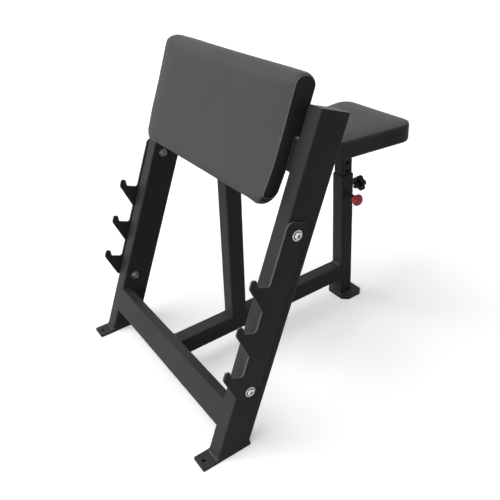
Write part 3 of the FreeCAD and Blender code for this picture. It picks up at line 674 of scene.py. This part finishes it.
def pad_held(points):
    """The stapled back, and the two seam lines."""
    y, z = points[:, 1] - foot_corner.y, points[:, 2] - foot_corner.z
    back = y * math.cos(RAKE) - z * math.sin(RAKE)
    seam_x = (pad_half - end_gap[seam_row]) * drawn_in(y * math.sin(RAKE) + z * math.cos(RAKE))
    seam = np.abs(np.abs(points[:, 0]) - seam_x) < 0.05 * MM
    return (back > -3 * MM) | seam


cover = raked(stations[:, None] * drawn_in(s), w, s)
end_panels = []
for end_ring, side in ((cover[0], -1), (cover[-1], 1)):
    panel = quilt(end_ring, pad_long, pad_short)
    panel[..., 0] += side * 0.8 * MM * crown(panel)
    end_panels.append(panel)
wrap = np.concatenate([cover, cover[:, :1]], 1)
arm_pad = shell("arm_pad_vinyl_cover", "frame", "grey_vinyl", vinyl, wrap, *end_panels)
second_finish(arm_pad, dark_vinyl, np.abs(face_values(arm_pad, "normal")[:, 0]) > END_FACING)
stuffed(arm_pad, pad_held, 3.5 * MM)
finished_cover(arm_pad, "arm_pad_cushion")

# Arm pad welts: a thin vinyl-covered cord sewn into each end seam of the cover. The welts take a much paler
# vinyl than the cover, a painted highlight along the seams.

WELT_RADIUS = 1.4 * MM


def welt(seam, away, across, radius):
    """Tube round a closed seam line: seam + radius (cos t away + sin t across) for t once round."""
    t = np.linspace(0, 2 * math.pi, 9)[None, :, None]
    around = np.cos(t) * closed(away)[:, None] + np.sin(t) * np.array(across)
    return closed(seam)[:, None] + radius * around


# Pale vinyl on the welts: a painted highlight.
welt_highlight_vinyl = soft_vinyl("welt_highlight_vinyl", (0.180, 0.180, 0.1805), (0.205, 0.205, 0.2055), 0.36)
pad_away = raked_way(0.0, normal[:, 0], normal[:, 1])
seam_rows = len(end_gap) - 1 - seam_row, seam_row - len(end_gap)
pad_seams = [welt(cover[row], pad_away, (1, 0, 0), WELT_RADIUS) for row in seam_rows]
shell("arm_pad_welts", "frame", "grey_vinyl", welt_highlight_vinyl, *pad_seams)

# Bushing: a black plastic collar pressed into the sleeve's mouth. Its lip shows as a dark line, and its liner
# guides the seat post.

coat(black_plastic, "sleeve_bushing")

# Pull pin: a plain steel pin with its return spring in a barrel welded to the sleeve. It is drawn out of the
# post's holes by a glossy red mushroom knob.

coat(zinc, "pull_pin", "pin_spring")
red_plastic = moulded_plastic("red_moulded_plastic", (0.70, 0.045, 0.065), (0.80, 0.055, 0.078),
                              roughness=0.28, gloss=0.4)
coat(red_plastic, "pull_knob")

# Clamp: a zinc-plated screw with a five-lobed black plastic knob, in a nut welded to the back of the sleeve.
# It takes up the seat post's play.

coat(zinc, "clamp_screw")
coat(black_plastic, "clamp_knob")

# Seat post: a telescopic square tube with a row of index holes, a guide plug below and a welded mounting
# plate on top. The tube is painted a satin blue-black that has been polished by the bushing.

post_paint = powder_paint("post_satin_paint", (0.027, 0.030, 0.034), (0.034, 0.038, 0.042), 0.42)
coat(post_paint, "seat_post_tube")
coat(frame_paint, "seat_mounting_plate")
coat(black_plastic, "seat_post_plug")

# Seat board and its fasteners: birch plywood under the cushion, sawn to its outline and left raw. Four
# zinc-plated bolts come up into it through the mounting plate.

coat(plywood, "seat_board")
coat(zinc, "seat_bolts", "seat_washers")

# Seat cushion: thick foam under the same grey vinyl, a trapezium with round corners. The top panel is sewn to
# a band that runs round the side and turns under the board.

seat_low, seat_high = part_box("seat_cushion")
half_front, half_rear, seat_round = 134 * MM, 166 * MM, 44 * MM
front_y, rear_y = seat_low.y, seat_high.y + 6.5 * MM
seat_plan = [(-half_front, front_y, seat_round), (half_front, front_y, seat_round),
             (half_rear, rear_y, seat_round), (-half_rear, rear_y, seat_round)]
seat_across, seat_along = 46, 48
ring = outline(seat_plan, (0, 1, 2, 3), (seat_across, seat_along, seat_across, seat_along))
normal = outward(ring)

# From the underside up the band to the top panel: inset from the outline, height, and the seam's row.
side_inset = np.array([14, 8, 4.2, 1.6, 0.4, 0.4, 0.8, 1.0, 0.8, 0.4, 0.2, 0.6, 2.0, 4.2, 6.2, 9.5, 15]) * MM
side_height = np.array([0, 0.5, 1.9, 4.8, 10, 17, 25, 33, 41, 48, 53, 57.5, 60.9, 62.6, 62.3, 63.8, 65]) * MM
top_seam_row = 14
levels = seat_low.z + side_height


def seat_held(points):
    """The underside, and the seam round the top panel."""
    under = points[:, 2] < seat_low.z + 3 * MM
    seam = np.abs(points[:, 2] - levels[top_seam_row]) < 0.1 * MM
    return under | seam


band = ring[None] - side_inset[:, None, None] * normal[None]
band_z = np.broadcast_to(levels[:, None], band.shape[:2])
cover = np.concatenate([band, band_z[..., None]], -1)
lower = quilt(cover[0], seat_across, seat_along)
upper = quilt(cover[-1], seat_across, seat_along)
upper[..., 2] += 1.2 * MM * crown(upper)
wrap = np.concatenate([cover, cover[:, :1]], 1)
seat_pad = shell("seat_vinyl_cover", "seat", "grey_vinyl", vinyl, wrap, lower, upper)
stuffed(seat_pad, seat_held, 3.0 * MM)
finished_cover(seat_pad, "seat_cushion")

# Studio: a pale floor that keeps the shadow, white surroundings, a soft key from high at the front left, a
# weaker soft light overhead and a narrow lamp at the front right that draws the edges.

FLOOR_HALF, FLOOR_WHITE, FLOOR_BOUNCE, FLOOR_GLOW = 12.0, 0.95, 0.08, 0.355
AMBIENT = 0.055


def shown(tree):
    """1 for rays that show the surroundings, from the camera, a reflection or through something clear; 0 for
    light."""
    rays = tree.nodes.new("ShaderNodeLightPath")
    total = None
    for kind in ("Is Camera Ray", "Is Glossy Ray", "Is Transmission Ray"):
        node = tree.nodes.new("ShaderNodeMath")
        node.operation = "MAXIMUM"
        node.inputs[1].default_value = 0.0
        link(tree, rays, kind, node, 0)
        if total is not None:
            link(tree, total, "Value", node, 1)
        total = node
    return total


def sun(name, energy, spread, way):
    """Soft sun lamp: its strength, its breadth in the sky in degrees, and the way that its light goes."""
    data = bpy.data.lights.new(name, "SUN")
    data.energy = energy
    data.angle = math.radians(spread)
    lamp = bpy.data.objects.new(name, data)
    lamp.rotation_euler = Vector(way).to_track_quat("-Z", "Y").to_euler()
    bpy.context.scene.collection.objects.link(lamp)


floor_mesh = bpy.data.meshes.new("floor")
floor_corners = [(a * FLOOR_HALF, b * FLOOR_HALF, 0) for a, b in ((-1, -1), (1, -1), (1, 1), (-1, 1))]
floor_mesh.from_pydata(floor_corners, [], [(0, 1, 2, 3)])
floor = bpy.data.objects.new("floor", floor_mesh)
bpy.context.scene.collection.objects.link(floor)
floor_paint, tree, bsdf = shader("floor_white", (FLOOR_WHITE,) * 3, 0.9, Specular_IOR_Level=0.0)
seen = shown(tree)
tone = tree.nodes.new("ShaderNodeMixRGB")
tone.inputs["Color1"].default_value = (*(FLOOR_BOUNCE,) * 3, 1)
tone.inputs["Color2"].default_value = (*(FLOOR_WHITE,) * 3, 1)
link(tree, seen, "Value", tone, "Fac")
link(tree, tone, "Color", bsdf, "Base Color")
glow = tree.nodes.new("ShaderNodeMath")
glow.operation = "MULTIPLY"
glow.inputs[1].default_value = FLOOR_GLOW
link(tree, seen, "Value", glow, 0)
bsdf.inputs["Emission Color"].default_value = (1, 1, 1, 1)
link(tree, glow, "Value", bsdf, "Emission Strength")
floor_mesh.materials.append(floor_paint)

world = bpy.data.worlds.new("studio")
bpy.context.scene.world = world
world.use_nodes = True
tree = world.node_tree
back = tree.nodes["Background"]
level = tree.nodes.new("ShaderNodeMath")
level.operation = "MAXIMUM"
level.inputs[1].default_value = AMBIENT
link(tree, shown(tree), "Value", level, 0)
back.inputs["Color"].default_value = (1, 1, 1, 1)
link(tree, level, "Value", back, "Strength")

sun("key", energy=2.08, spread=62, way=(0.34, 0.66, -0.67))
sun("top", energy=1.0, spread=58, way=(0.02, -0.06, -1))
edge_data = bpy.data.lights.new("edge", "AREA")
edge_data.shape = "RECTANGLE"
edge_data.size, edge_data.size_y = 0.2, 2.0
edge_data.energy = 28
edge_lamp = bpy.data.objects.new("edge", edge_data)
edge_lamp.location = (1.35, -3.2, 0.75)
edge_aim = Vector((0, 0, 0.45)) - edge_lamp.location
edge_lamp.rotation_euler = edge_aim.to_track_quat("-Z", "Y").to_euler()
bpy.context.scene.collection.objects.link(edge_lamp)

# Camera at the photograph's viewing angle: its place in metres, its compass angle from the front, its height
# angle and roll in degrees, and its focal length and picture centre in pixels of a square frame.

AZIMUTH, ELEVATION, ROLL = (math.radians(v) for v in (57.389, 28.834, -4.017))
PLACE = Vector((1.4056, -0.9460, 1.3707))
FOCAL_PX, CENTRE_PX, FRAME_PX, SENSOR = 606.785, (250.0, 220.0), 500.0, 36.0
compass = Vector((math.sin(AZIMUTH), -math.cos(AZIMUTH), 0))
out = math.cos(ELEVATION) * compass + Vector((0, 0, math.sin(ELEVATION)))
right = (-out).cross(Vector((0, 0, 1))).normalized()
up = right.cross(-out)
cam_x = math.cos(ROLL) * right + math.sin(ROLL) * up
cam_y = math.cos(ROLL) * up - math.sin(ROLL) * right
camera_data = bpy.data.cameras.new("camera")
camera_data.sensor_width = SENSOR
camera_data.lens = FOCAL_PX / FRAME_PX * SENSOR
camera_data.shift_x = (FRAME_PX / 2 - CENTRE_PX[0]) / FRAME_PX
camera_data.shift_y = (CENTRE_PX[1] - FRAME_PX / 2) / FRAME_PX
camera = bpy.data.objects.new("camera", camera_data)
camera.matrix_world = Matrix.Translation(PLACE) @ Matrix((cam_x, cam_y, out)).transposed().to_4x4()
bpy.context.scene.collection.objects.link(camera)
bpy.context.scene.camera = camera
